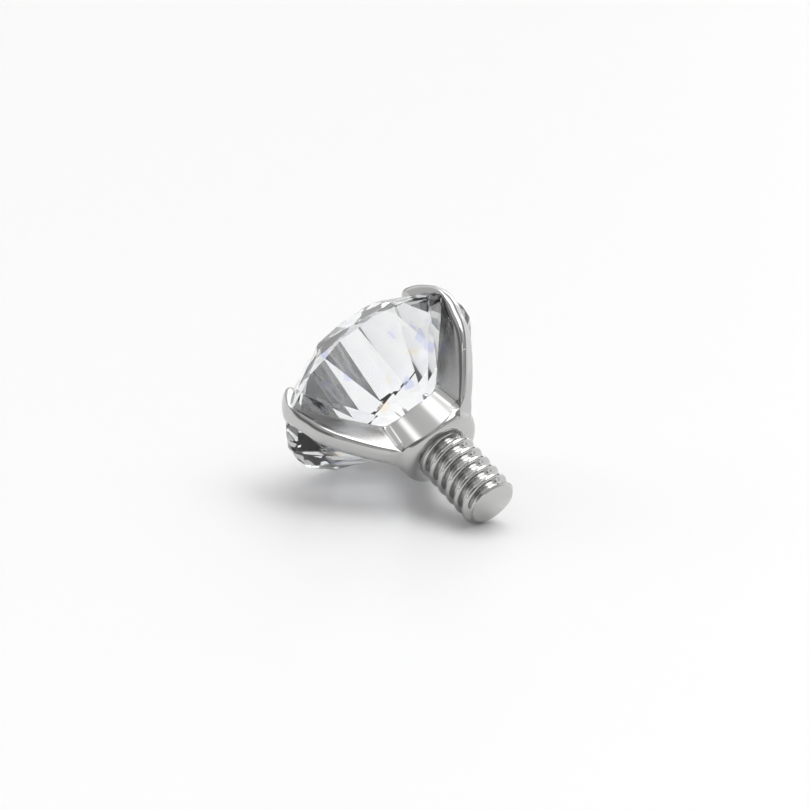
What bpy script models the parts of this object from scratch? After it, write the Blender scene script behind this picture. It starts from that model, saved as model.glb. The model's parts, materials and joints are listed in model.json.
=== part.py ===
"""Dermal anchor top: a round brilliant stone in a three-claw cup on a short threaded post.

The piece is modelled upright in millimetres, table up and post down the Z axis. Each finished
mesh is scaled to metres, and the whole piece is then laid down as it rests by itself.
"""
import math

import bmesh
import bpy
from mathutils import Matrix, Vector

MM = 0.001

# Stone. Heights are measured from the lower edge of the girdle, up toward the table.
STONE_RADIUS = 2.50
GIRDLE_HEIGHT = 0.14
CROWN_HEIGHT = 0.83
TABLE_RADIUS = 1.52
STAR_REACH = 0.50
PAVILION_DEPTH = 2.10
LOWER_HALF_REACH = 0.76
CULET_RADIUS = 0.05
# The girdle has small flats, two to a half facet, so the piece lies steadily on one of them.
GIRDLE_SIDES = 32
FOLD = 8

# Setting. The stone lies in its seat with this clearance.
SEAT_GAP = 0.03
CLAW_COUNT = 3
CLAW_HALF_WIDTH = 0.22
CLAW_TIP_RADIUS = 1.77
NOTCH_REACH = 6.0
HUB_TOP = -1.25
HUB_TOP_REACH = 0.93
HUB_TOP_SWELL = 0.14
HUB_BOTTOM = -2.20
HUB_BOTTOM_REACH = 1.06
HUB_BOTTOM_SWELL = 0.17
TURNED_SIDES = 60

# Outer side of the claws and of the collar under them, from the claw tip down to the post.
OUTER_SIDE = (
    {"radius": 1.80, "z": 0.99},
    {"radius": 1.94, "z": 0.97},
    {"radius": 2.18, "z": 0.82},
    {"radius": 2.40, "z": 0.57},
    {"radius": 2.55, "z": 0.31},
    {"radius": 2.59, "z": 0.04},
    {"radius": 2.56, "z": -0.22},
    {"radius": 2.47, "z": -0.50},
    {"radius": 2.37, "z": -0.80},
    {"radius": 2.19, "z": -1.09},
    {"radius": 1.88, "z": -1.44},
    {"radius": 1.52, "z": -1.79},
    {"radius": 1.19, "z": -2.05},
    {"radius": 1.03, "z": -2.16},
    {"radius": 0.93, "z": -2.27},
    {"radius": 0.80, "z": -2.35},
    {"radius": 0.64, "z": -2.39},
)

# One claw is worked down shorter and flatter over the stone than the others: the region that is
# trimmed off its tip, seen from the side.
TRIMMED_CLAW = math.radians(-60.0)
TIP_TRIM = (
    {"radius": 1.50, "z": 0.30},
    {"radius": 2.04, "z": 0.30},
    {"radius": 2.06, "z": 0.69},
    {"radius": 2.24, "z": 0.65},
    {"radius": 2.41, "z": 0.48},
    {"radius": 2.60, "z": 0.14},
    {"radius": 2.90, "z": 0.14},
    {"radius": 2.90, "z": 1.40},
    {"radius": 1.50, "z": 1.40},
)

# Threaded post.
POST_CREST_RADIUS = 0.65
POST_ROOT_RADIUS = 0.47
POST_END_RADIUS = 0.56
POST_TOP = -2.20
THREAD_START = -2.40
POST_END = -4.13
THREAD_PITCH = 0.300
THREAD_PHASE = math.radians(-53.0)
THREAD_ROWS_PER_TURN = 10
POST_SIDES = 36

# Lying pose, as the photo shows it: how far the post drops below level, and the side that is down,
# counted about the axis from the middle of a notch.
LIE_TILT = math.radians(25.4)
LIE_SIDE = math.radians(-143.0)
# Middle of the whole piece's weight, on its axis.
WEIGHT_Z = -0.49


def new_collection(name):
    collection = bpy.data.collections.new(name)
    bpy.context.scene.collection.children.link(collection)
    return collection


def put_object(name, mesh, collection):
    obj = bpy.data.objects.new(name, mesh)
    collection.objects.link(obj)
    return obj


def mesh_from(bm, name):
    bmesh.ops.recalc_face_normals(bm, faces=bm.faces[:])
    mesh = bpy.data.meshes.new(name)
    bm.to_mesh(mesh)
    bm.free()
    return mesh


def finish(obj):
    """Applies the modifiers of an object and returns its plain mesh."""
    bpy.context.view_layer.update()
    evaluated = obj.evaluated_get(bpy.context.evaluated_depsgraph_get())
    mesh = bpy.data.meshes.new_from_object(evaluated)
    obj.modifiers.clear()
    obj.data = mesh
    return mesh


def cut(target, tool, operation):
    """Boolean of target with tool, which is then removed."""
    modifier = target.modifiers.new(operation.lower(), "BOOLEAN")
    modifier.operation = operation
    modifier.solver = "EXACT"
    modifier.object = tool
    finish(target)
    bpy.data.objects.remove(tool, do_unlink=True)


def turned(name, profile, sides, collection):
    """Turns a profile of (radius, z) points about Z with a Screw modifier."""
    mesh = bpy.data.meshes.new(name)
    points = [(radius, 0.0, z) for radius, z in profile]
    mesh.from_pydata(points, [(i, i + 1) for i in range(len(points) - 1)], [])
    obj = put_object(name, mesh, collection)
    screw = obj.modifiers.new("turn", "SCREW")
    screw.axis = "Z"
    screw.angle = math.tau
    screw.steps = sides
    screw.render_steps = sides
    screw.use_merge_vertices = True
    screw.merge_threshold = 0.0001
    finish(obj)
    return obj


def slice_off(bm, point, normal):
    """Cuts away what lies beyond a plane and closes the cut with one flat facet."""
    geometry = bm.verts[:] + bm.edges[:] + bm.faces[:]
    bmesh.ops.bisect_plane(
        bm, geom=geometry, dist=1e-5, plane_co=point, plane_no=normal, clear_outer=True)
    rim = [edge for edge in bm.edges if edge.is_boundary]
    if rim:
        bmesh.ops.edgeloop_fill(bm, edges=rim)


def slice_through(bm, clearance, a, b, c):
    """Slices along the plane of three points, moved out from the stone's middle."""
    normal = (b - a).cross(c - a).normalized()
    middle = Vector((0.0, 0.0, -0.2))
    if normal.dot(a - middle) < 0.0:
        normal.negate()
    slice_off(bm, a + normal * clearance, normal)


def polar(radius, angle, z):
    return Vector((radius * math.cos(angle), radius * math.sin(angle), z))


def build_stone(name, clearance, collection):
    """A cylinder sliced by the planes of a round brilliant's facets, each moved out by clearance."""
    top = GIRDLE_HEIGHT + CROWN_HEIGHT
    half = math.pi / FOLD
    bm = bmesh.new()
    bmesh.ops.create_cone(
        bm, cap_ends=True, segments=GIRDLE_SIDES, radius1=STONE_RADIUS + clearance,
        radius2=STONE_RADIUS + clearance, depth=8.0)
    slice_off(bm, Vector((0, 0, top + clearance)), Vector((0, 0, 1)))
    culet_z = -PAVILION_DEPTH * (1.0 - CULET_RADIUS / STONE_RADIUS)
    slice_off(bm, Vector((0, 0, culet_z - clearance)), Vector((0, 0, -1)))
    # Where two neighbouring main facets meet, half way between their middles.
    crown_slope = CROWN_HEIGHT / (STONE_RADIUS - TABLE_RADIUS)
    chord = TABLE_RADIUS * math.cos(half)
    star_radius = chord + STAR_REACH * (STONE_RADIUS - chord)
    star_z = GIRDLE_HEIGHT + crown_slope * (STONE_RADIUS - star_radius * math.cos(half))
    lower_radius = STONE_RADIUS * (1.0 - LOWER_HALF_REACH)
    lower_z = -PAVILION_DEPTH * (1.0 - lower_radius * math.cos(half) / STONE_RADIUS)
    for step in range(FOLD):
        angle = step * 2.0 * half
        side = Vector((-math.sin(angle), math.cos(angle), 0.0))
        edge_up = polar(STONE_RADIUS, angle, GIRDLE_HEIGHT)
        edge_low = polar(STONE_RADIUS, angle, 0.0)
        table_corner = polar(TABLE_RADIUS, angle, top)
        culet = Vector((0, 0, -PAVILION_DEPTH))
        slice_through(bm, clearance, edge_up, edge_up + side, table_corner)
        slice_through(bm, clearance, edge_low, edge_low + side, culet)
    for step in range(FOLD):
        angle = step * 2.0 * half
        slice_through(
            bm, clearance, polar(TABLE_RADIUS, angle, top),
            polar(TABLE_RADIUS, angle + 2.0 * half, top), polar(star_radius, angle + half, star_z))
        for turn in (0.0, half):
            first = angle + turn
            second = first + half
            middle = angle + half
            slice_through(
                bm, clearance, polar(STONE_RADIUS, first, GIRDLE_HEIGHT),
                polar(STONE_RADIUS, second, GIRDLE_HEIGHT), polar(star_radius, middle, star_z))
            slice_through(
                bm, clearance, polar(STONE_RADIUS, first, 0.0), polar(STONE_RADIUS, second, 0.0),
                polar(lower_radius, middle, lower_z))
    bmesh.ops.remove_doubles(bm, verts=bm.verts[:], dist=0.002)
    return put_object(name, mesh_from(bm, name), collection)


def notch_tool(angle, collection):
    """The piece that is cut away between two claws, down to the hub."""
    spread = math.pi / CLAW_COUNT
    steps = 10
    along = Vector((math.cos(spread), math.sin(spread), 0.0))
    across = Vector((math.sin(spread), -math.cos(spread), 0.0)) * CLAW_HALF_WIDTH
    far = along * NOTCH_REACH + across
    loops = []
    for z, reach, swell in (
            (2.0, HUB_TOP_REACH, HUB_TOP_SWELL), (HUB_TOP, HUB_TOP_REACH, HUB_TOP_SWELL),
            (HUB_BOTTOM, HUB_BOTTOM_REACH, HUB_BOTTOM_SWELL)):
        corner = along * reach + across
        row = []
        for i in range(steps + 1):
            t = 2.0 * i / steps - 1.0
            row.append(Vector((corner.x + swell * (1.0 - t * t), corner.y * t, z)))
        row.append(Vector((far.x, far.y, z)))
        row.append(Vector((far.x, -far.y, z)))
        loops.append(row)
    bm = bmesh.new()
    rings = [[bm.verts.new(point) for point in row] for row in loops]
    count = len(rings[0])
    for upper, lower in zip(rings, rings[1:]):
        for i in range(count):
            j = (i + 1) % count
            bm.faces.new((upper[i], upper[j], lower[j], lower[i]))
    bm.faces.new(rings[0])
    bm.faces.new(list(reversed(rings[-1])))
    bmesh.ops.rotate(
        bm, verts=bm.verts[:], cent=(0, 0, 0), matrix=Matrix.Rotation(angle, 3, "Z"))
    return put_object("notch", mesh_from(bm, "notch"), collection)


def tip_tool(collection):
    """The piece that is trimmed off the shorter claw's tip: its side outline, given width."""
    bm = bmesh.new()
    width = 2.0 * CLAW_HALF_WIDTH
    points = [(row["radius"], -width, row["z"]) for row in TIP_TRIM]
    face = bm.faces.new([bm.verts.new(point) for point in points])
    swept = bmesh.ops.extrude_face_region(bm, geom=[face])
    moved = [item for item in swept["geom"] if isinstance(item, bmesh.types.BMVert)]
    bmesh.ops.translate(bm, verts=moved, vec=(0.0, 2.0 * width, 0.0))
    bmesh.ops.rotate(
        bm, verts=bm.verts[:], cent=(0, 0, 0), matrix=Matrix.Rotation(TRIMMED_CLAW, 3, "Z"))
    return put_object("tip_trim", mesh_from(bm, "tip_trim"), collection)


def thread_radius(angle, z):
    """Rounded single-start thread that fades out at the cup and is bevelled at the end."""
    turns = (z / THREAD_PITCH) - (angle - THREAD_PHASE) / math.tau
    wave = math.cos(math.tau * turns)
    shape = 0.5 + 0.5 * math.copysign(abs(wave) ** 0.75, wave)
    fade = min(1.0, max(0.0, (THREAD_START - z) / (0.5 * THREAD_PITCH)))
    radius = POST_ROOT_RADIUS + (POST_CREST_RADIUS - POST_ROOT_RADIUS) * shape * fade
    bevel = POST_END_RADIUS + (z - POST_END)
    return min(radius, bevel)


def build_post(cutters):
    """A turned blank with close rows, pushed in and out to the thread's form."""
    length = POST_TOP - POST_END
    rows = round(length / THREAD_PITCH * THREAD_ROWS_PER_TURN)
    profile = [(0.0, POST_TOP)]
    profile += [(POST_ROOT_RADIUS, POST_TOP - length * i / rows) for i in range(rows + 1)]
    profile += [(0.0, POST_END)]
    post = turned("post", profile, POST_SIDES, cutters)
    for vert in post.data.vertices:
        radius = math.hypot(vert.co.x, vert.co.y)
        if radius > 0.1:
            angle = math.atan2(vert.co.y, vert.co.x)
            wanted = thread_radius(angle, vert.co.z)
            vert.co.x = wanted * math.cos(angle)
            vert.co.y = wanted * math.sin(angle)
    return post


def build_setting(collection, cutters):
    """One turned shell, seated for the stone, notched, with the threaded post joined on."""
    inset = 0.8
    crown_rise = CROWN_HEIGHT / (STONE_RADIUS - TABLE_RADIUS)
    tip_low = GIRDLE_HEIGHT + crown_rise * (STONE_RADIUS - CLAW_TIP_RADIUS) * inset
    profile = [
        (0.0, -PAVILION_DEPTH * inset),
        (STONE_RADIUS * inset, 0.0),
        (STONE_RADIUS * inset, GIRDLE_HEIGHT),
        (CLAW_TIP_RADIUS, tip_low),
    ]
    profile += [(row["radius"], row["z"]) for row in OUTER_SIDE]
    profile += [(0.0, OUTER_SIDE[-1]["z"])]
    setting = turned("claw_setting", profile, TURNED_SIDES, collection)
    cut(setting, build_stone("seat", SEAT_GAP, cutters), "DIFFERENCE")
    for step in range(CLAW_COUNT):
        cut(setting, notch_tool(step * math.tau / CLAW_COUNT, cutters), "DIFFERENCE")
    cut(setting, tip_tool(cutters), "DIFFERENCE")
    cut(setting, build_post(cutters), "UNION")
    bm = bmesh.new()
    bm.from_mesh(setting.data)
    bmesh.ops.remove_doubles(bm, verts=bm.verts[:], dist=0.002)
    bmesh.ops.dissolve_degenerate(bm, dist=0.001, edges=bm.edges[:])
    setting.data = mesh_from(bm, "claw_setting")
    return setting


def paint(obj, colour, roughness, metallic, transmission=0.0, ior=1.5):
    material = bpy.data.materials.new(obj.name)
    material.use_nodes = True
    shader = material.node_tree.nodes["Principled BSDF"]
    shader.inputs["Base Color"].default_value = (*colour, 1.0)
    shader.inputs["Roughness"].default_value = roughness
    shader.inputs["Metallic"].default_value = metallic
    shader.inputs["Transmission Weight"].default_value = transmission
    shader.inputs["IOR"].default_value = ior
    obj.data.materials.clear()
    obj.data.materials.append(material)


def resting_turn(points, weight_point):
    """Rotation that lays the points on the hull face nearest to the photo's lying pose."""
    wanted = Vector((
        math.cos(LIE_TILT) * math.cos(LIE_SIDE), math.cos(LIE_TILT) * math.sin(LIE_SIDE),
        -math.sin(LIE_TILT)))
    bm = bmesh.new()
    for point in points:
        bm.verts.new(point)
    bmesh.ops.convex_hull(bm, input=bm.verts[:])
    bmesh.ops.recalc_face_normals(bm, faces=bm.faces[:])
    best = None
    for face in bm.faces:
        normal = face.normal
        below = weight_point + normal * normal.dot(face.calc_center_median() - weight_point)
        corners = [vert.co for vert in face.verts]
        inside = True
        for first, second in zip(corners, corners[1:] + corners[:1]):
            if (second - first).cross(below - first).dot(normal) < 0.0:
                inside = False
        closeness = normal.dot(wanted)
        if inside and (best is None or closeness > best[0]):
            best = (closeness, normal.copy())
    bm.free()
    return best[1].rotation_difference(Vector((0, 0, -1))).to_matrix()


def lay_down(parts, collection):
    """Parents the parts to an empty that turns them to rest, post toward -Y, on the floor."""
    points = [vert.co.copy() for part in parts for vert in part.data.vertices]
    turn = resting_turn(points, Vector((0.0, 0.0, WEIGHT_Z * MM)))
    post = turn @ Vector((0, 0, -1))
    yaw = -0.5 * math.pi - math.atan2(post.y, post.x)
    turn = Matrix.Rotation(yaw, 3, "Z") @ turn
    placed = [turn @ point for point in points]
    low = [min(point[axis] for point in placed) for axis in range(3)]
    high = [max(point[axis] for point in placed) for axis in range(3)]
    rest = bpy.data.objects.new("rest_pose", None)
    collection.objects.link(rest)
    rest.location = (-0.5 * (low[0] + high[0]), -0.5 * (low[1] + high[1]), -low[2])
    rest.rotation_euler = turn.to_euler()
    for part in parts:
        part.parent = rest


def main():
    for obj in list(bpy.data.objects):
        bpy.data.objects.remove(obj, do_unlink=True)
    collection = new_collection("dermal_anchor_top")
    cutters = new_collection("cutters")
    stone = build_stone("round_stone", 0.0, collection)
    setting = build_setting(collection, cutters)
    for part in (stone, setting):
        part.data.transform(Matrix.Scale(MM, 4))
        part.data.update()
    paint(stone, (0.96, 0.97, 1.0), 0.02, 0.0, transmission=1.0, ior=2.15)
    paint(setting, (0.72, 0.72, 0.72), 0.12, 1.0)
    lay_down((stone, setting), collection)


main()
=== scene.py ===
"""Dermal anchor top: the polished claw setting, the clear stone and a plain studio.

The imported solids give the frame. The setting is worked out again here as fine surfaces with
rounded edges, rounded gap corners and a helical thread. The stone keeps its solid's facets and
gets a clear material.
"""

import json
import math

import bpy
import numpy as np
from bpy.props import FloatProperty, FloatVectorProperty, PointerProperty
from bpy.types import Operator, Panel, PropertyGroup
from mathutils import Matrix, Vector


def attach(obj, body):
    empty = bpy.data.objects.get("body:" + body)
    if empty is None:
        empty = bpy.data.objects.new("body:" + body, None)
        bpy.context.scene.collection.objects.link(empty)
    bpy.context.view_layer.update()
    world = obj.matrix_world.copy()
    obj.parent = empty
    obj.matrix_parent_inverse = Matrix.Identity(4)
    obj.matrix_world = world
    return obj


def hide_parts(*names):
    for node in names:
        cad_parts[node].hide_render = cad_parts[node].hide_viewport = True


bl_info = {
    "name": "Dermal anchor top",
    "version": (1, 0, 0),
    "blender": (4, 5, 0),
    "location": "3D View > Sidebar > Anchor Top",
    "description": "Builds the setting, the stone's finish and the studio round the packed solids",
    "category": "Add Mesh",
}

MM = 0.001
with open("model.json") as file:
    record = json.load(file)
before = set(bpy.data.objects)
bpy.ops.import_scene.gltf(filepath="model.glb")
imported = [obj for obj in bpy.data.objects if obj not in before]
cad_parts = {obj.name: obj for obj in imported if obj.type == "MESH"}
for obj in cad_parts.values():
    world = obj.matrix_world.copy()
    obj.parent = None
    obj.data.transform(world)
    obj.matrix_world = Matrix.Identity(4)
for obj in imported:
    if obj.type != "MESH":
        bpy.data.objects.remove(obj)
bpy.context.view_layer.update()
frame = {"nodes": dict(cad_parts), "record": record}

# All shapes are worked out upright, in millimetres, with heights counted from the lower edge of
# the stone's girdle, and are then laid down in metres.

# The stone's cut.
STONE_RADIUS = 2.50
GIRDLE_HEIGHT = 0.14
CROWN_HEIGHT = 0.83
TABLE_RADIUS = 1.52
STAR_REACH = 0.50
PAVILION_DEPTH = 2.10
LOWER_HALF_REACH = 0.76
GIRDLE_SIDES = 32
FOLD = 8
# A height inside the stone, which tells a facet's outer side.
STONE_MIDDLE = -0.2
# A ray that meets a plane more flatly than this passes it by.
GRAZING = 1e-6

# Where the piece lies: the post's end is a mount, and the roll is read about the post's line,
# from level to the middle of the first gap between claws.
POST_END = -4.13
LYING_ROLL = math.radians(-127.11)

# Directions of the claws about the post's line, in degrees.
CLAW_ANGLES = (60.0, 180.0, -60.0)
SHORT_CLAW = -60.0

# The outer side of claws and collar, from the post up to the claw tip.
OUTER_SIDE = (
    {"radius": 0.60, "z": -2.385},
    {"radius": 0.80, "z": -2.350},
    {"radius": 0.93, "z": -2.270},
    {"radius": 1.03, "z": -2.160},
    {"radius": 1.19, "z": -2.050},
    {"radius": 1.52, "z": -1.790},
    {"radius": 1.88, "z": -1.440},
    {"radius": 2.19, "z": -1.090},
    {"radius": 2.37, "z": -0.800},
    {"radius": 2.47, "z": -0.500},
    {"radius": 2.56, "z": -0.220},
    {"radius": 2.59, "z": 0.040},
    {"radius": 2.55, "z": 0.310},
    {"radius": 2.40, "z": 0.570},
    {"radius": 2.18, "z": 0.820},
    {"radius": 1.94, "z": 0.970},
    {"radius": 1.77, "z": 0.990},
)
# The tip of the claw that is worked down shorter, above the height where it leaves the others.
SHORT_TIP_FROM = 0.1
SHORT_TIP = (
    {"radius": 2.575, "z": 0.170},
    {"radius": 2.41, "z": 0.480},
    {"radius": 2.24, "z": 0.650},
    {"radius": 2.05, "z": 0.710},
)

# A claw: where it leaves the hub, the lowest row of the outer side that its curve needs, the
# spacing of its sections, the length that its tip is rounded over, and its small inner corner.
CLAW_ROOT_Z = -1.25
CLAW_ROWS_FROM = -1.5
CLAW_STEP = 0.03
TIP_LENGTH = 0.22
TIP_SECTIONS = 14
INNER_CORNER = 0.03
# Shares of its width and of its depth that a claw keeps at the very end, and its least depth.
TIP_WIDTH = 0.35
TIP_DEPTH = 0.02
LEAST_DEPTH = 0.02
# Shares that the roundings may take: of the half width, and of the depth outside and inside.
CORNER_OF_WIDTH = 0.9
EDGE_OF_DEPTH = 0.45
INNER_OF_DEPTH = 0.2
# Points along each stretch of a claw's section.
CLAW_SAMPLES = {"face": 9, "corner": 7, "wall": 6}
# From this height on, and over this rise, a claw's depth direction turns from level to straight
# down.
BEND_START = -0.1
BEND_RISE = 0.75
# How far the tip sinks onto the stone as it thins, as a share of the depth that it loses.
TIP_SINK = 0.75

# The hub between the claws: its floor curve at the top and at the bottom of the gap.
HUB_TOP = -1.25
HUB_TOP_REACH = 0.93
HUB_TOP_SWELL = 0.14
HUB_BOTTOM = -2.20
HUB_BOTTOM_REACH = 1.06
HUB_BOTTOM_SWELL = 0.17
# From here down the rows stand closer, for the lip over the turned collar.
COLLAR_TOP = -1.90
# The gap's form runs on past its bottom, to this share of its height.
GAP_RUNS_TO = 1.3
# Rounding of the lip between the gap's floor and the turned collar, and how soon it sets in along
# the corner beside the wall.
LIP_ROUND = 0.07
LIP_ONSET = 1.5
# Share of the room outside a gap's corner that the rounding of a claw's root may take.
FILLET_OF_ROOM = 0.6
# The outer side is read for the hub up to this height, in these steps.
OUTER_TO = -0.9
OUTER_STEP = 0.01
# Points along each stretch of a third of the hub's outline, and rows in each stretch of height.
HUB_SAMPLES = {"face": 6, "fillet": 6, "wall": 8, "corner": 9, "floor": 41}
HUB_ROWS = {"rim": 12, "floor": 20, "lip": 26, "foot": 18}
# The seat's rings, as shares of the way out from the middle.
SEAT_SHARES = (0.02, 0.12, 0.3, 0.5, 0.7, 0.85, 0.95, 0.985)

# The post: where it starts inside the collar, its grid, how full the thread's lands are, and the
# rounding where the end's bevel starts.
POST_TOP = -2.30
POST_COLUMNS = 144
POST_ROWS_PER_TURN = 40
LAND_FULLNESS = 2.0
BEVEL_ROUND = 0.03

# Folds sharper than this stay crisp.
SHARP_FOLD = math.radians(32.0)
# A height well below everything, from which rays look up at the stone.
FAR_BELOW = -6.0
# Too small to show: it only keeps a division away from zero.
TINY = 1e-4
# The polish: scale and roughness of its faint cloud, and what the dull inner walls add to it. The
# gap's floor has a share of that haze.
CLOUD_SCALE = 900.0
CLOUD_ROUGHNESS = (0.04, 0.09)
WALL_ROUGHNESS = 0.17
FLOOR_HAZE = 0.35

# The point that the camera looks at, in millimetres, and half the floor's side, in metres.
AIM_POINT = (0.355, 0.729, 1.839)
FLOOR_REACH = 1.5

# The room's light changes between these places, from minus one on the camera's side to one
# behind the piece.
ROOM_FADE = (-0.5, 0.6)

# Soft boxes and dark flags of the studio, the later over the earlier. Angles are in degrees:
# azimuth is counted from the camera's own side toward its right. The edge is the width over which
# a box fades, with the box at distance one, and light is what it shows.
BOX_COLUMNS = ("azimuth", "elevation", "half_width", "half_height", "edge", "light")
SOFT_BOXES = [dict(zip(BOX_COLUMNS, row)) for row in (
    (-38, 30, 30, 22, 0.15, 0.20),
    (22, 52, 13, 13, 0.12, 0.25),
    (50, 34, 8, 6, 0.08, 0.25),
    (-110, 50, 22, 16, 0.20, 0.80),
    (180, 62, 34, 12, 0.20, 1.0),
    (-148, 19, 38, 12, 0.12, 0.38),
    (112, 27, 44, 10, 0.10, 0.28),
    (-84, 46, 8, 6, 0.10, 2.2),
    (-136, 75, 11, 7, 0.12, 2.4),
    (33, 40, 5, 5, 0.07, 2.4),
    (155, 12, 12, 6, 0.06, 2.0),
    (-80, 9, 5, 5, 0.06, 2.2),
    (115, 66, 31, 19, 0.10, 3.35),
)]

# Painted fire: the stone's base colour is broken into small patches, each tint from its share on:
# a few painted blue, most clear, a few painted amber, to stand in for light split by the facets.
# An empty tint is the stone's own colour. The scale makes the patches finer than the facets.
PAINTED_FIRE_SCALE = 4200.0
PAINTED_FIRE_TINTS = (
    {"share": 0.0, "tint": (0.62, 0.67, 1.0)},
    {"share": 0.035, "tint": (0.94, 0.955, 1.0)},
    {"share": 0.25, "tint": None},
    {"share": 0.65, "tint": (0.96, 0.965, 0.975)},
    {"share": 0.975, "tint": (1.0, 0.88, 0.70)},
)


class SettingSizes(PropertyGroup):
    """Sizes and colour of the polished setting"""
    claw_half_width: FloatProperty(
        name="Claw half width", description="Half the width of a claw, in millimetres",
        default=0.22, min=0.05, max=0.5)
    edge_round: FloatProperty(
        name="Edge rounding",
        description="Radius of the claws' polished outer edges, in millimetres",
        default=0.15, min=0.01, max=0.2)
    corner_round: FloatProperty(
        name="Corner rounding",
        description="Reach of the rounded corner from a gap's wall to its floor, in millimetres",
        default=0.16, min=0.01, max=0.3)
    rim_round: FloatProperty(
        name="Rim rounding",
        description="Radius of the floor's rim under the stone, in millimetres",
        default=0.14, min=0.01, max=0.3)
    seat_gap: FloatProperty(
        name="Seat gap", description="Clearance between metal and stone, in millimetres",
        default=0.02, min=0.005, max=0.1)
    crest_radius: FloatProperty(
        name="Thread crest", description="Radius of the thread at its crests, in millimetres",
        default=0.639, min=0.3, max=1.0)
    root_radius: FloatProperty(
        name="Thread root", description="Radius of the thread at its roots, in millimetres",
        default=0.47, min=0.2, max=0.9)
    end_radius: FloatProperty(
        name="End face", description="Radius of the post's end face, in millimetres",
        default=0.558, min=0.2, max=0.9)
    pitch: FloatProperty(
        name="Thread pitch", description="Rise of the thread in one turn, in millimetres",
        default=0.30, min=0.1, max=0.6)
    phase: FloatProperty(
        name="Thread start", description="Angle at which a crest starts", subtype="ANGLE",
        default=math.radians(-53.0))
    steel: FloatVectorProperty(
        name="Steel", description="Reflected colour of the polished steel", subtype="COLOR",
        size=3, min=0.0, max=1.0, default=(0.54, 0.54, 0.535))


class StoneLook(PropertyGroup):
    """Colour and refraction of the clear stone"""
    tint: FloatVectorProperty(
        name="Tint", description="Colour of the clear stone", subtype="COLOR",
        size=3, min=0.0, max=1.0, default=(0.99, 0.995, 1.0))
    ior: FloatProperty(
        name="Refraction", description="Index of refraction of the stone", default=1.72,
        min=1.3, max=2.6)


class StudioSettings(PropertyGroup):
    """The camera, the room's light and the floor"""
    azimuth: FloatProperty(
        name="Azimuth", description="Direction of view about the vertical", subtype="ANGLE",
        default=math.radians(-42.57))
    elevation: FloatProperty(
        name="Elevation", description="How far the camera looks down", subtype="ANGLE",
        default=math.radians(18.83))
    roll: FloatProperty(
        name="Roll", description="Turn of the camera about its own line of sight",
        subtype="ANGLE", default=math.radians(2.71))
    distance: FloatProperty(
        name="Distance", description="From the camera to the point it looks at", unit="LENGTH",
        default=105.434 * MM)
    lens: FloatProperty(
        name="Lens", description="Focal length in millimetres", default=211.41)
    near_level: FloatProperty(
        name="Near light", description="Light of the room on the camera's side", default=0.55,
        min=0.0, max=4.0)
    far_level: FloatProperty(
        name="Far light", description="Light of the room behind the piece", default=1.15,
        min=0.0, max=4.0)
    floor: FloatVectorProperty(
        name="Floor", description="Colour of the pale floor", subtype="COLOR",
        size=3, min=0.0, max=1.0, default=(0.90, 0.90, 0.90))


def column(rows, key):
    """One named column of a table, as an array."""
    return np.array([row[key] for row in rows])


def facet_planes():
    """Planes of the round brilliant, as outward normals and distances from the middle.

    A main facet is fixed by a girdle point, the girdle's direction there and the culet or a
    table corner. A star facet holds two table corners and the point where two halves meet, and
    a half facet holds two girdle points and that same point. The girdle's flats stand upright
    round the stone, and the table lies on top."""
    half = math.pi / FOLD
    top = GIRDLE_HEIGHT + CROWN_HEIGHT
    chord = TABLE_RADIUS * math.cos(half)
    star_radius = chord + STAR_REACH * (STONE_RADIUS - chord)
    slope = CROWN_HEIGHT / (STONE_RADIUS - TABLE_RADIUS)
    star_z = GIRDLE_HEIGHT + slope * (STONE_RADIUS - star_radius * math.cos(half))
    lower_radius = STONE_RADIUS * (1.0 - LOWER_HALF_REACH)
    lower_z = -PAVILION_DEPTH * (1.0 - lower_radius * math.cos(half) / STONE_RADIUS)
    angle = np.arange(FOLD) * 2.0 * half

    def polar(radius, turn, z):
        return np.stack(
            [radius * np.cos(turn), radius * np.sin(turn), np.full_like(turn, z)], axis=-1)

    side = np.stack([-np.sin(angle), np.cos(angle), np.zeros(FOLD)], axis=-1)
    up = polar(STONE_RADIUS, angle, GIRDLE_HEIGHT)
    low = polar(STONE_RADIUS, angle, 0.0)
    corner = polar(TABLE_RADIUS, angle, top)
    meet_up = polar(star_radius, angle + half, star_z)
    meet_low = polar(lower_radius, angle + half, lower_z)
    groups = [
        (up, up + side, corner),
        (low, low + side, polar(0.0, angle, -PAVILION_DEPTH)),
        (corner, polar(TABLE_RADIUS, angle + 2.0 * half, top), meet_up),
    ]
    for turn in (0.0, half):
        start = angle + turn
        groups.append((polar(STONE_RADIUS, start, GIRDLE_HEIGHT),
                       polar(STONE_RADIUS, start + half, GIRDLE_HEIGHT), meet_up))
        groups.append((polar(STONE_RADIUS, start, 0.0),
                       polar(STONE_RADIUS, start + half, 0.0), meet_low))
    first, second, third = (np.concatenate(parts) for parts in zip(*groups))
    normals = np.cross(second - first, third - first)
    normals /= np.linalg.norm(normals, axis=1, keepdims=True)
    offsets = np.einsum("ij,ij->i", normals, first)
    middle = np.array([0.0, 0.0, STONE_MIDDLE])
    inward = offsets < normals @ middle
    normals[inward] *= -1.0
    offsets[inward] *= -1.0
    girdle = polar(1.0, (np.arange(GIRDLE_SIDES) + 0.5) * math.tau / GIRDLE_SIDES, 0.0)
    flat = STONE_RADIUS * math.cos(math.pi / GIRDLE_SIDES)
    normals = np.concatenate([normals, girdle, [[0.0, 0.0, 1.0]]])
    offsets = np.concatenate([offsets, np.full(GIRDLE_SIDES, flat), [top]])
    return normals, offsets


def reach_stone(points, directions, gap):
    """Distance along each direction to the stone grown by the gap: the farthest of the planes
    that the ray enters."""
    normals, offsets = facet_planes()
    facing = directions @ normals.T
    height = points @ normals.T - offsets - gap
    entering = facing < -GRAZING
    steps = np.where(entering, height / np.where(entering, -facing, 1.0), -np.inf)
    return steps.max(axis=-1)


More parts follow.
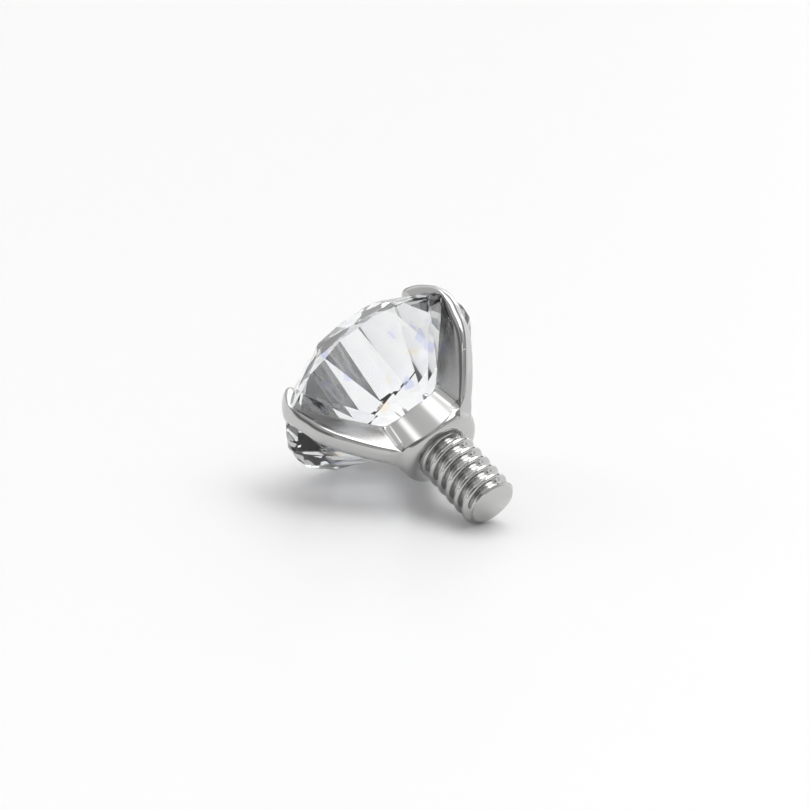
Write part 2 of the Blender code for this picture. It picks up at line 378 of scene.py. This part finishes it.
def seat_height(points, gap):
    """Height at which a ray straight up from each point's place meets the grown stone."""
    below = points.copy()
    below[..., 2] = FAR_BELOW
    up = np.broadcast_to([0.0, 0.0, 1.0], below.shape)
    return FAR_BELOW + reach_stone(below, up, gap)


def path_length(points):
    """Length along a path, at each of its points."""
    steps = np.linalg.norm(np.diff(points, axis=0), axis=1)
    return np.concatenate([[0.0], np.cumsum(steps)])


def smooth_curve(rows, spacing):
    """A Catmull-Rom curve through (radius, z) rows, sampled at even spacing.

    Its knots grow by the root of each chord's length. Between two rows the curve blends, pair by
    pair, the straight lines through four neighbouring rows."""
    points = np.stack([column(rows, "radius"), column(rows, "z")], axis=-1)
    padded = np.concatenate([[2 * points[0] - points[1]], points, [2 * points[-1] - points[-2]]])
    steps = np.sqrt(np.linalg.norm(np.diff(padded, axis=0), axis=1))
    knots = np.concatenate([[0.0], np.cumsum(steps)])
    samples_per_row = 24
    fine = []
    for i in range(1, len(padded) - 2):
        t = np.linspace(knots[i], knots[i + 1], samples_per_row, endpoint=False)[:, None]
        p0, p1, p2, p3 = padded[i - 1:i + 3]
        t0, t1, t2, t3 = knots[i - 1:i + 3]
        a1 = (t1 - t) / (t1 - t0) * p0 + (t - t0) / (t1 - t0) * p1
        a2 = (t2 - t) / (t2 - t1) * p1 + (t - t1) / (t2 - t1) * p2
        a3 = (t3 - t) / (t3 - t2) * p2 + (t - t2) / (t3 - t2) * p3
        b1 = (t2 - t) / (t2 - t0) * a1 + (t - t0) / (t2 - t0) * a2
        b2 = (t3 - t) / (t3 - t1) * a2 + (t - t1) / (t3 - t1) * a3
        fine.append((t2 - t) / (t2 - t1) * b1 + (t - t1) / (t2 - t1) * b2)
    fine = np.concatenate(fine + [points[-1:]])
    length = path_length(fine)
    even = np.linspace(0.0, length[-1], int(length[-1] / spacing) + 1)
    return np.stack([np.interp(even, length, fine[:, k]) for k in range(2)], axis=-1)


def closed_tube(rings, haze):
    """Rings of points made one closed surface: quads between neighbouring rings, and each end
    gathered to its middle point. The haze of each column, zero where it is mirror bright, goes
    with its points."""
    rows, columns = rings.shape[:2]
    i, j = np.meshgrid(np.arange(rows - 1), np.arange(columns), indexing="ij")
    k = (j + 1) % columns
    quads = np.stack(
        [i * columns + j, i * columns + k, (i + 1) * columns + k, (i + 1) * columns + j], axis=-1)
    ends = np.stack([rings[0].mean(axis=0), rings[-1].mean(axis=0)])
    j = np.arange(columns)
    k = (j + 1) % columns
    first = np.full(columns, rows * columns)
    last = (rows - 1) * columns
    fans = np.concatenate([np.stack([k, j, first], axis=-1),
                           np.stack([last + j, last + k, first + 1], axis=-1)])
    points = np.concatenate([rings.reshape(-1, 3), ends])
    return points, quads.reshape(-1, 4), fans, np.concatenate([np.tile(haze, rows), np.zeros(2)])


def soft_min(a, b, blend):
    """Lower of two values, with a rounded change-over of the given width."""
    h = np.clip(0.5 + 0.5 * (b - a) / blend, 0.0, 1.0)
    return b * (1.0 - h) + a * h - blend * h * (1.0 - h)


def claw_rail(angle):
    """Middle line of a claw's outer face, from the hub to the tip, and how far each section
    shrinks: sections crowd toward the tip, and the shrinking there is a quarter ellipse."""
    rows = [row for row in OUTER_SIDE if row["z"] >= CLAW_ROWS_FROM]
    if angle == SHORT_CLAW:
        rows = [row for row in rows if row["z"] < SHORT_TIP_FROM] + list(SHORT_TIP)
    rail = smooth_curve(rows, CLAW_STEP)
    cut = np.argmax(rail[:, 1] >= CLAW_ROOT_Z)
    before, after = rail[cut - 1], rail[cut]
    start = before + (after - before) * ((CLAW_ROOT_Z - before[1]) / (after[1] - before[1]))
    rail = np.concatenate([[start], rail[cut:]])
    run = path_length(rail)
    body_length = run[-1] - TIP_LENGTH
    body = np.linspace(0.0, body_length, int(body_length / CLAW_STEP), endpoint=False)
    end = run[-1] - TIP_LENGTH * (1.0 - np.sin(np.linspace(0.0, 0.5 * math.pi, TIP_SECTIONS)))
    along = np.concatenate([body, end])
    rail = np.stack([np.interp(along, run, rail[:, k]) for k in range(2)], axis=-1)
    left = np.clip((run[-1] - along) / TIP_LENGTH, 0.0, 1.0)
    shrink = np.sqrt(np.clip(1.0 - (1.0 - left) ** 2, 0.0, 1.0))
    return rail, np.maximum(shrink, TIP_DEPTH)


def claw(angle, sizes):
    """One claw: a rounded bar swept from the hub to its tip.

    Its outer face is the turned profile kept at each lateral offset. From every point of that
    face a ray goes inward, level at the root and turning to straight down at the tip, and ends
    on the stone's facets grown by the gap. A cross-section is a rectangle from lateral edge to
    edge and from the face to the ray's end, with rounded corners. Toward the tip its width and
    depth shrink as a quarter ellipse."""
    rail, shrink = claw_rail(angle)
    bend = np.clip((rail[:, 1] - BEND_START) / BEND_RISE, 0.0, 1.0)
    bend = bend * bend * (3.0 - 2.0 * bend) * 0.5 * math.pi
    ray = np.stack([-np.cos(bend), np.zeros_like(bend), -np.sin(bend)], axis=-1)

    # Lateral places of a cross-section walked once round: face, corner, wall, inner corner, inner
    # face, inner corner, wall, corner.
    turn = np.linspace(0.0, 0.5 * math.pi, CLAW_SAMPLES["corner"])
    sweep, fall = np.sin(turn)[None, :], np.cos(turn)[None, :]
    flat = np.linspace(-1.0, 1.0, CLAW_SAMPLES["face"])[None, :]
    side_steps = np.linspace(0.0, 1.0, CLAW_SAMPLES["wall"])[None, 1:-1]
    half = (sizes.claw_half_width * (TIP_WIDTH + (1.0 - TIP_WIDTH) * shrink))[:, None]
    corner = np.minimum(sizes.edge_round, CORNER_OF_WIDTH * half)
    wall = np.broadcast_to(half, (len(rail), side_steps.size))
    laterals = [flat * (half - corner),
                half - corner + corner * sweep[:, 1:],
                wall,
                half - INNER_CORNER * (1.0 - fall),
                -flat[:, 1:-1] * (half - INNER_CORNER),
                -half + INNER_CORNER * (1.0 - sweep),
                -wall,
                -(half - corner + corner * fall)[:, :-1]]
    counts = [part.shape[1] for part in laterals]
    lateral = np.concatenate(laterals, axis=1)
    x = np.sqrt(rail[:, :1] ** 2 - lateral ** 2)
    surface = np.stack([x, lateral, np.broadcast_to(rail[:, 1:], x.shape)], axis=-1)
    rays = np.broadcast_to(ray[:, None, :], surface.shape)
    full = np.maximum(reach_stone(surface, rays, sizes.seat_gap), LEAST_DEPTH)
    thick = full * shrink[:, None]

    # Depths of the same places along their rays.
    edge = np.minimum(corner, EDGE_OF_DEPTH * thick[:, :1])
    small = np.minimum(INNER_CORNER, INNER_OF_DEPTH * thick[:, :1])
    starts = np.cumsum([0] + counts)
    picks = [thick[:, a:b] for a, b in zip(starts, starts[1:])]
    depth = np.concatenate([
        np.zeros_like(picks[0]),
        edge * (1.0 - fall)[:, 1:],
        edge + (picks[2] - small - edge) * side_steps,
        picks[3] - small * (1.0 - sweep),
        picks[4],
        picks[5] - small * (1.0 - fall),
        edge + (picks[6] - small - edge) * side_steps[:, ::-1],
        edge * (1.0 - sweep)[:, :-1]], axis=1)
    rings = surface + rays * (depth + (full - thick) * TIP_SINK)[..., None]
    cos, sin = math.cos(math.radians(angle)), math.sin(math.radians(angle))
    spin = np.array([[cos, sin, 0.0], [-sin, cos, 0.0], [0.0, 0.0, 1.0]])
    # Only the outer face and its two rounded edges are mirror bright.
    haze = np.repeat([0.0, 0.0, 1.0, 1.0, 1.0, 1.0, 1.0, 0.0], counts)
    return closed_tube(rings @ spin, haze)


def hub_outline(z, sizes):
    """Plan outline of one third of the hub at height z, middle of a claw to middle of the next.

    The turned radius bounds the claw roots. Between them the gap has two side walls at the
    claws' half width and a floor whose radius swells as a parabola. A rounded corner joins the
    turned face to each wall, a parabola arc joins each wall to the floor, and the floor never
    stands past the turned radius."""
    width = sizes.claw_half_width
    samples = HUB_SAMPLES
    spread = math.pi / 3.0
    mix = np.clip((z - HUB_TOP) / (HUB_BOTTOM - HUB_TOP), 0.0, GAP_RUNS_TO)[:, None]
    reach = HUB_TOP_REACH + (HUB_BOTTOM_REACH - HUB_TOP_REACH) * mix
    swell = HUB_TOP_SWELL + (HUB_BOTTOM_SWELL - HUB_TOP_SWELL) * mix
    profile = smooth_curve(OUTER_SIDE, OUTER_STEP)
    profile = profile[profile[:, 1] <= OUTER_TO]
    outer = np.interp(z, profile[:, 1], profile[:, 0])[:, None]
    along = np.array([math.cos(spread), math.sin(spread)])
    across = np.array([math.sin(spread), -math.cos(spread)])
    corner = along * reach[..., None] + across * width
    room = np.clip(outer - np.linalg.norm(corner, axis=-1), 0.0, None)
    fillet = np.minimum(sizes.edge_round, FILLET_OF_ROOM * room + TINY)

    # The face of the claw's root, from its middle to the start of the rounded corner.
    span = np.sqrt((outer - fillet) ** 2 - (width - fillet) ** 2)
    tilt = np.arctan2(width - fillet, span)
    face_angle = tilt * np.linspace(0.0, 1.0, samples["face"])[None, :-1]
    face = outer[..., None] * np.stack([np.cos(face_angle), np.sin(face_angle)], axis=-1)
    swing = tilt + (0.5 * math.pi - tilt) * np.linspace(0.0, 1.0, samples["fillet"])[None, :]
    centre = np.stack([span, width - fillet], axis=-1)
    rounded = centre + fillet[..., None] * np.stack([np.cos(swing), np.sin(swing)], axis=-1)
    # The wall, from the rounded corner in to where the corner with the floor starts to round.
    inset = sizes.corner_round
    wall_end = np.minimum(reach + inset, span)
    steps = np.linspace(0.0, 1.0, samples["wall"])[None, 1:]
    wall_x = span + (wall_end - span) * steps
    wall = np.stack([wall_x, np.full_like(wall_x, width)], axis=-1)
    own = np.concatenate([face, rounded, wall], axis=1)
    # From the claw's own axes to the gap's: claw axis at the spread, lateral toward the gap.
    half_loop = own[..., :1] * along + own[..., 1:] * across

    def floor_point(t):
        return np.stack([corner[..., 0] + swell * (1.0 - t * t), corner[..., 1] * t], axis=-1)

    # The arc from the wall to the floor has its control point at the corner.
    t_end = 1.0 - inset / corner[..., 1]
    s = np.linspace(0.0, 1.0, samples["corner"])[None, 1:, None]
    control = np.minimum(reach, span)[..., None] * along + across * width
    arc = ((1.0 - s) ** 2 * half_loop[:, -1:] + 2.0 * s * (1.0 - s) * control
           + s ** 2 * floor_point(t_end))
    t = t_end * np.linspace(1.0, -1.0, samples["floor"])[None, 1:-1]
    mirror = np.array([1.0, -1.0])
    floor = np.concatenate([arc, floor_point(t), arc[:, ::-1] * mirror], axis=1)
    # Toward the stone the floor's rim rolls in as a quarter circle.
    lift = np.clip((z - HUB_TOP + sizes.rim_round) / sizes.rim_round, 0.0, 1.0)[:, None]
    roll = sizes.rim_round * (1.0 - np.sqrt(1.0 - lift ** 2))
    share = np.minimum(1.0, np.linspace(0.0, 1.0, samples["corner"])[1:] * LIP_ONSET) ** 2
    share = np.concatenate([share, np.ones(samples["floor"] - 2), share[::-1]])[None, :]
    radius = np.linalg.norm(floor, axis=-1)
    wanted = soft_min(radius - roll * share, outer, LIP_ROUND * share + TINY)
    floor = floor * (wanted / radius)[..., None]
    return np.concatenate([half_loop, floor, (half_loop[:, ::-1] * mirror)[:, :-1]], axis=1)


def hub(sizes):
    """Hub and collar: the plan outline carried down from the stone's seat to the post.

    Its top follows the stone's pavilion a gap below the facets and runs in to the middle, and
    its foot closes under the post."""
    turn = np.linspace(0.0, 0.5 * math.pi, HUB_ROWS["rim"])
    rim = HUB_TOP - sizes.rim_round * (1.0 - np.cos(turn))
    levels = np.concatenate([
        rim[:-1],
        np.linspace(rim[-1], COLLAR_TOP, HUB_ROWS["floor"], endpoint=False),
        np.linspace(COLLAR_TOP, HUB_BOTTOM, HUB_ROWS["lip"], endpoint=False),
        np.linspace(HUB_BOTTOM, OUTER_SIDE[0]["z"], HUB_ROWS["foot"])])
    third = hub_outline(levels, sizes)
    spins = []
    for count in range(3):
        cos, sin = math.cos(-count * math.tau / 3.0), math.sin(-count * math.tau / 3.0)
        spins.append(third @ np.array([[cos, sin], [-sin, cos]]))
    plan = np.concatenate(spins, axis=1)
    rings = np.concatenate(
        [plan, np.broadcast_to(levels[:, None, None], plan.shape[:2] + (1,))], axis=-1)
    # Nothing rises past the seat, which follows the stone's facets and runs in to the middle.
    rings[..., 2] = np.minimum(rings[..., 2], seat_height(rings, sizes.seat_gap))
    seat = np.repeat(rings[:1], len(SEAT_SHARES), axis=0)
    seat[..., :2] *= np.array(SEAT_SHARES)[:, None, None]
    seat[..., 2] = seat_height(seat, sizes.seat_gap)
    rings = np.concatenate([seat, rings])
    bright = HUB_SAMPLES["face"] - 1 + HUB_SAMPLES["fillet"]
    half = np.repeat([0.0, 1.0], [bright, HUB_SAMPLES["wall"] - 1])
    floor = np.full(2 * (HUB_SAMPLES["corner"] - 1) + HUB_SAMPLES["floor"] - 2, FLOOR_HAZE)
    haze = np.tile(np.concatenate([half, floor, half[:0:-1]]), 3)
    return closed_tube(rings[:, ::-1], haze[::-1])


def post(sizes):
    """Threaded post: radius by angle and height.

    The radius swings between root and crest as a cosine of the turns left over when the angle
    is taken from height over pitch, pushed through a hyperbolic tangent so that crests and roots
    are flat and the flanks steep. A 45-degree bevel, with a rounded change-over, ends it."""
    rows = int((POST_TOP - POST_END) / sizes.pitch * POST_ROWS_PER_TURN)
    z = np.linspace(POST_TOP, POST_END, rows)[:, None]
    turn = np.arange(POST_COLUMNS)[None, :] * math.tau / POST_COLUMNS
    wave = np.cos(math.tau * (z / sizes.pitch) - (turn - sizes.phase))
    shape = 0.5 + 0.5 * np.tanh(LAND_FULLNESS * wave) / math.tanh(LAND_FULLNESS)
    radius = sizes.root_radius + (sizes.crest_radius - sizes.root_radius) * shape
    radius = soft_min(radius, sizes.end_radius + (z - POST_END), BEVEL_ROUND)
    rings = np.stack([radius * np.cos(turn), radius * np.sin(turn),
                      np.broadcast_to(z, radius.shape)], axis=-1)
    return closed_tube(rings[:, ::-1], np.zeros(POST_COLUMNS))


def lie_down(points):
    """Upright millimetres to the lying piece in metres: the post's line is the mount's axis, and
    the roll about it is counted from level."""
    mount = next(row for row in frame["record"]["mounts"] if row["name"] == "post_end")
    z_axis = -np.array(mount["axis"], dtype=float)
    z_axis /= np.linalg.norm(z_axis)
    level = np.array([1.0, 0.0, 0.0])
    level -= z_axis * (level @ z_axis)
    level /= np.linalg.norm(level)
    other = np.cross(z_axis, level)
    x_axis = math.cos(LYING_ROLL) * level + math.sin(LYING_ROLL) * other
    y_axis = np.cross(z_axis, x_axis)
    origin = np.array(mount["pos_m"]) - z_axis * POST_END * MM
    return points * MM @ np.stack([x_axis, y_axis, z_axis]) + origin


def make_piece(name, surfaces):
    """One object from closed surfaces of points, quads, triangles and haze, smooth but for sharp
    folds."""
    points, faces, hazes = [], [], []
    start = 0
    for cloud, quads, triangles, haze in surfaces:
        points.append(cloud)
        hazes.append(haze)
        faces += (quads + start).tolist() + (triangles + start).tolist()
        start += len(cloud)
    mesh = bpy.data.meshes.new(name)
    mesh.from_pydata(lie_down(np.concatenate(points)).tolist(), [], faces)
    layer = mesh.attributes.new("haze", "FLOAT", "POINT")
    layer.data.foreach_set("value", np.concatenate(hazes).astype(np.float32))
    mesh.validate()
    mesh.shade_smooth()
    mesh.set_sharp_from_angle(angle=SHARP_FOLD)
    obj = bpy.data.objects.new(name, mesh)
    bpy.context.scene.collection.objects.link(obj)
    return obj


def new_material(name):
    """A material with its node tree and its shader."""
    material = bpy.data.materials.new(name)
    material.use_nodes = True
    return material, material.node_tree, material.node_tree.nodes["Principled BSDF"]


def polished_steel(colour):
    """Mirror-polished steel with a faint cloud of polishing haze, duller on the inner walls."""
    material, tree, shader = new_material("polished_steel")
    shader.inputs["Base Color"].default_value = (*colour, 1.0)
    shader.inputs["Metallic"].default_value = 1.0
    place = tree.nodes.new("ShaderNodeTexCoord")
    cloud = tree.nodes.new("ShaderNodeTexNoise")
    cloud.inputs["Scale"].default_value = CLOUD_SCALE
    cloud.inputs["Detail"].default_value = 3.0
    faint = tree.nodes.new("ShaderNodeMapRange")
    faint.inputs["To Min"].default_value = CLOUD_ROUGHNESS[0]
    faint.inputs["To Max"].default_value = CLOUD_ROUGHNESS[1]
    inner = tree.nodes.new("ShaderNodeAttribute")
    inner.attribute_name = "haze"
    rough = tree.nodes.new("ShaderNodeMath")
    rough.operation = "MULTIPLY_ADD"
    rough.inputs[1].default_value = WALL_ROUGHNESS
    tree.links.new(place.outputs["Object"], cloud.inputs["Vector"])
    tree.links.new(cloud.outputs["Fac"], faint.inputs["Value"])
    tree.links.new(inner.outputs["Fac"], rough.inputs[0])
    tree.links.new(faint.outputs["Result"], rough.inputs[2])
    tree.links.new(rough.outputs["Value"], shader.inputs["Roughness"])
    return material


def clear_stone_painted_fire(colour, ior):
    """Clear cut stone: full transmission, no roughness, and painted fire: the base colour is
    broken into small patches of which a few are painted faint blue or amber, to stand in for the
    light that a well cut stone splits."""
    material, tree, shader = new_material("clear_stone_painted_fire")
    place = tree.nodes.new("ShaderNodeTexCoord")
    fire_patches = tree.nodes.new("ShaderNodeTexVoronoi")
    fire_patches.inputs["Scale"].default_value = PAINTED_FIRE_SCALE
    split = tree.nodes.new("ShaderNodeSeparateColor")
    # The ramp paints the fire: each patch gets a painted flash colour or the stone's own colour.
    painted_fire = tree.nodes.new("ShaderNodeValToRGB")
    painted_fire.color_ramp.interpolation = "CONSTANT"
    while len(painted_fire.color_ramp.elements) < len(PAINTED_FIRE_TINTS):
        painted_fire.color_ramp.elements.new(0.5)
    for element, row in zip(painted_fire.color_ramp.elements, PAINTED_FIRE_TINTS):
        element.position = row["share"]
        element.color = (*(row["tint"] or colour), 1.0)
    tree.links.new(place.outputs["Object"], fire_patches.inputs["Vector"])
    tree.links.new(fire_patches.outputs["Color"], split.inputs["Color"])
    tree.links.new(split.outputs["Red"], painted_fire.inputs["Fac"])
    tree.links.new(painted_fire.outputs["Color"], shader.inputs["Base Color"])
    shader.inputs["Roughness"].default_value = 0.0
    shader.inputs["Transmission Weight"].default_value = 1.0
    shader.inputs["IOR"].default_value = ior
    return material


def soft_box_group():
    """Node group: how far a direction falls inside a rectangular soft box at infinity.

    The direction is projected onto the plane at distance one in front of the box's middle.
    Along each side the mask is one inside the half size and eases to zero over the edge."""
    group = bpy.data.node_groups.new("soft_box", "ShaderNodeTree")
    for name, kind in (("Direction", "Vector"), ("Middle", "Vector"), ("Across", "Vector"),
                       ("Up", "Vector"), ("Half Width", "Float"), ("Half Height", "Float"),
                       ("Edge", "Float")):
        group.interface.new_socket(name, in_out="INPUT", socket_type="NodeSocket" + kind)
    group.interface.new_socket("Mask", in_out="OUTPUT", socket_type="NodeSocketFloat")
    into = group.nodes.new("NodeGroupInput")
    out = group.nodes.new("NodeGroupOutput")

    def dot(name):
        node = group.nodes.new("ShaderNodeVectorMath")
        node.operation = "DOT_PRODUCT"
        group.links.new(into.outputs["Direction"], node.inputs[0])
        group.links.new(into.outputs[name], node.inputs[1])
        return node.outputs["Value"]

    def math_node(operation, first, second=None):
        node = group.nodes.new("ShaderNodeMath")
        node.operation = operation
        for socket, value in zip(node.inputs, (first, second)):
            if isinstance(value, (int, float)):
                socket.default_value = value
            elif value is not None:
                group.links.new(value, socket)
        return node.outputs["Value"]

    ahead = dot("Middle")
    depth = math_node("MAXIMUM", ahead, TINY)
    mask = math_node("GREATER_THAN", ahead, 0.0)
    for name, half in (("Across", "Half Width"), ("Up", "Half Height")):
        away = math_node("ABSOLUTE", math_node("DIVIDE", dot(name), depth))
        inside = math_node("SUBTRACT", into.outputs[half], away)
        eased = group.nodes.new("ShaderNodeMapRange")
        eased.interpolation_type = "SMOOTHSTEP"
        group.links.new(inside, eased.inputs["Value"])
        group.links.new(into.outputs["Edge"], eased.inputs["From Max"])
        mask = math_node("MULTIPLY", mask, eased.outputs["Result"])
    group.links.new(mask, out.inputs["Mask"])
    return group


def studio_world(studio):
    """Soft grey room, darker on the camera's side, with rectangular soft boxes and dark flags."""
    world = bpy.data.worlds.new("studio")
    world.use_nodes = True
    tree = world.node_tree
    sky = tree.nodes["Background"]
    sky.inputs["Color"].default_value = (1.0, 1.0, 1.0, 1.0)
    direction = tree.nodes.new("ShaderNodeTexCoord").outputs["Generated"]
    toward = np.array([math.sin(studio.azimuth), -math.cos(studio.azimuth), 0.0])
    start = math.atan2(toward[1], toward[0])

    side = tree.nodes.new("ShaderNodeVectorMath")
    side.operation = "DOT_PRODUCT"
    side.inputs[1].default_value = -toward
    tree.links.new(direction, side.inputs[0])
    level = tree.nodes.new("ShaderNodeMapRange")
    level.interpolation_type = "SMOOTHSTEP"
    level.inputs["From Min"].default_value = ROOM_FADE[0]
    level.inputs["From Max"].default_value = ROOM_FADE[1]
    level.inputs["To Min"].default_value = studio.near_level
    level.inputs["To Max"].default_value = studio.far_level
    tree.links.new(side.outputs["Value"], level.inputs["Value"])
    total = level.outputs["Result"]
    group = soft_box_group()
    for box in SOFT_BOXES:
        azimuth = start + math.radians(box["azimuth"])
        elevation = math.radians(box["elevation"])
        middle = np.array([math.cos(elevation) * math.cos(azimuth),
                           math.cos(elevation) * math.sin(azimuth), math.sin(elevation)])
        across = np.array([-math.sin(azimuth), math.cos(azimuth), 0.0])
        node = tree.nodes.new("ShaderNodeGroup")
        node.node_tree = group
        node.inputs["Middle"].default_value = middle
        node.inputs["Across"].default_value = across
        node.inputs["Up"].default_value = np.cross(middle, across)
        node.inputs["Half Width"].default_value = math.tan(math.radians(box["half_width"]))
        node.inputs["Half Height"].default_value = math.tan(math.radians(box["half_height"]))
        node.inputs["Edge"].default_value = box["edge"]
        tree.links.new(direction, node.inputs["Direction"])
        mix = tree.nodes.new("ShaderNodeMix")
        mix.inputs["B"].default_value = box["light"]
        tree.links.new(node.outputs["Mask"], mix.inputs["Factor"])
        tree.links.new(total, mix.inputs["A"])
        total = mix.outputs["Result"]
    tree.links.new(total, sky.inputs["Strength"])
    return world


def pale_floor(colour):
    """A wide flat floor in plain pale satin, on which the piece lies."""
    mesh = bpy.data.meshes.new("floor")
    corners = [(-FLOOR_REACH, -FLOOR_REACH, 0.0), (FLOOR_REACH, -FLOOR_REACH, 0.0),
               (FLOOR_REACH, FLOOR_REACH, 0.0), (-FLOOR_REACH, FLOOR_REACH, 0.0)]
    mesh.from_pydata(corners, [], [(0, 1, 2, 3)])
    material, _, shader = new_material("pale_floor")
    shader.inputs["Base Color"].default_value = (*colour, 1.0)
    shader.inputs["Roughness"].default_value = 0.35
    shader.inputs["Specular IOR Level"].default_value = 0.3
    mesh.materials.append(material)
    floor = bpy.data.objects.new("floor", mesh)
    bpy.context.scene.collection.objects.link(floor)
    return floor


def photo_camera(studio):
    """The camera at the photo's angle: it looks along the azimuth and down by the elevation at
    the aim point, turned by the roll about its own line."""
    camera = bpy.data.objects.new("camera", bpy.data.cameras.new("camera"))
    bpy.context.scene.collection.objects.link(camera)
    camera.data.lens = studio.lens
    camera.data.sensor_width = 36.0
    camera.data.clip_start = 5.0 * MM
    camera.data.clip_end = 10.0
    azimuth, elevation = studio.azimuth, studio.elevation
    view = np.array([-math.sin(azimuth) * math.cos(elevation),
                     math.cos(azimuth) * math.cos(elevation), -math.sin(elevation)])
    camera.location = np.array(AIM_POINT) * MM - view * studio.distance
    camera.rotation_mode = "XYZ"
    aim = Vector(view).to_track_quat("-Z", "Y").to_matrix()
    camera.rotation_euler = (aim @ Matrix.Rotation(studio.roll, 3, "Z")).to_euler()
    return camera


class ANCHORTOP_OT_setting(Operator):
    """Builds the polished setting: hub, three claws and threaded post"""
    bl_idname = "anchor_top.setting"
    bl_label = "Claw setting"

    def execute(self, context):
        sizes = context.scene.anchor_setting
        surfaces = [hub(sizes), post(sizes)] + [claw(angle, sizes) for angle in CLAW_ANGLES]
        setting = make_piece("polished_setting", surfaces)
        setting.data.materials.append(polished_steel(sizes.steel))
        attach(setting, "root")
        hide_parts("claw_setting")
        return {"FINISHED"}


class ANCHORTOP_OT_stone(Operator):
    """Gives the stone's solid its clear material"""
    bl_idname = "anchor_top.stone"
    bl_label = "Round stone"

    def execute(self, context):
        look = context.scene.anchor_stone
        material = clear_stone_painted_fire(look.tint, look.ior)
        for slot in frame["nodes"]["round_stone"].material_slots:
            slot.material = material
        return {"FINISHED"}


class ANCHORTOP_OT_stage(Operator):
    """Sets the pale floor, the soft light and the camera at the photo's angle"""
    bl_idname = "anchor_top.stage"
    bl_label = "Studio"

    def execute(self, context):
        studio = context.scene.anchor_studio
        scene = context.scene
        floor = pale_floor(studio.floor)
        scene.world = studio_world(studio)
        scene.view_settings.view_transform = "Standard"
        scene.camera = photo_camera(studio)
        return {"FINISHED"}


class ANCHORTOP_PT_panel(Panel):
    """Lists the builders of the dermal anchor top"""
    bl_label = "Dermal anchor top"
    bl_idname = "ANCHORTOP_PT_panel"
    bl_space_type = "VIEW_3D"
    bl_region_type = "UI"
    bl_category = "Anchor Top"

    def draw(self, context):
        for operator in BUILDERS:
            self.layout.operator(operator.bl_idname)
        for name in SETTINGS:
            box = self.layout.box()
            group = getattr(context.scene, name)
            for key in group.__annotations__:
                box.prop(group, key)


BUILDERS = (ANCHORTOP_OT_setting, ANCHORTOP_OT_stone, ANCHORTOP_OT_stage)
SETTINGS = {"anchor_setting": SettingSizes, "anchor_stone": StoneLook,
            "anchor_studio": StudioSettings}
CLASSES = tuple(SETTINGS.values()) + BUILDERS + (ANCHORTOP_PT_panel,)


def register():
    """Registers the classes and gives each scene its settings."""
    for cls in CLASSES:
        bpy.utils.register_class(cls)
    for name, group in SETTINGS.items():
        setattr(bpy.types.Scene, name, PointerProperty(type=group))


def unregister():
    """Takes the settings and the classes out again."""
    for name in SETTINGS:
        delattr(bpy.types.Scene, name)
    for cls in reversed(CLASSES):
        bpy.utils.unregister_class(cls)


def main():
    """Registers the add-on and builds everything in order."""
    register()
    bpy.ops.anchor_top.setting()
    bpy.ops.anchor_top.stone()
    bpy.ops.anchor_top.stage()


if __name__ == "__main__":
    main()
